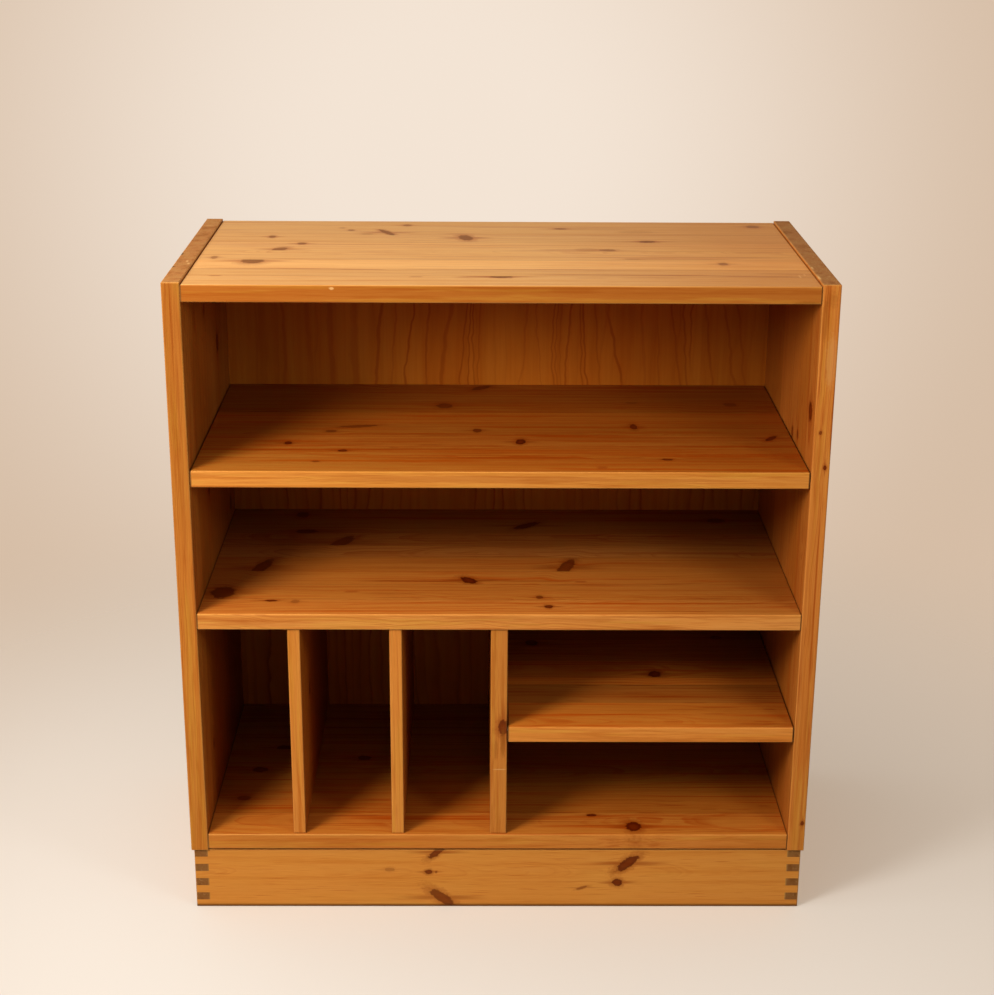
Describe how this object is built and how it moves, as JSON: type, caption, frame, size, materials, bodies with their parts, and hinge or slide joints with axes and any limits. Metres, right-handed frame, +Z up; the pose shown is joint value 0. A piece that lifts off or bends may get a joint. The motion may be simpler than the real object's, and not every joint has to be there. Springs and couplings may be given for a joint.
{
  "type": "audio cabinet",
  "caption": "Open pine audio cabinet on a finger-jointed plinth, with wide shelves, tall bays divided by uprights, a loose small shelf and a plywood back.",
  "frame": {"origin": "on the floor, in the middle of the cabinet's width and depth", "axes": "+Z up, +X to the right seen from the front, +Y towards the back, so the open front faces -Y"},
  "size_m": [0.9, 0.445, 0.945],
  "materials": {
    "pine_carcass": "aged golden pine, satin lacquer",
    "pine_shelf": "aged golden pine, satin lacquer",
    "pine_upright": "aged golden pine, satin lacquer",
    "pine_plinth": "aged golden pine, satin lacquer",
    "pine_raw": "unfinished pine",
    "plywood": "rotary-cut pine plywood, thin lacquer",
    "beech": "plain beech",
    "steel": "bright steel"
  },
  "bodies": {
    "carcass": {"side_left": "pine_carcass", "side_right": "pine_carcass", "top_panel": "pine_carcass", "shelf_middle": "pine_shelf", "bottom_panel": "pine_shelf", "partition": "pine_upright", "divider_left": "pine_upright", "divider_right": "pine_upright", "back_panel": "plywood", "plinth_front": "pine_plinth", "plinth_back": "pine_plinth", "plinth_left": "pine_plinth", "plinth_right": "pine_plinth", "corner_blocks": "pine_raw", "dowels_top": "beech", "dowels_middle": "beech", "dowels_bottom": "beech", "dowels_partition": "beech", "dowels_dividers": "beech", "pegs_upper": "steel", "pegs_small": "steel", "block_screws": "steel", "back_nails": "steel"},
    "upper_shelf": {"shelf_upper": "pine_shelf"},
    "small_shelf": {"shelf_small": "pine_shelf"}
  },
  "joints": [
    {"name": "upper_shelf_slide", "type": "slide", "parent": "carcass", "child": "upper_shelf", "axis": [0, -1, 0], "range_m": [0, 0.43]},
    {"name": "small_shelf_slide", "type": "slide", "parent": "carcass", "child": "small_shelf", "axis": [0, -1, 0], "range_m": [0, 0.43]}
  ]
}
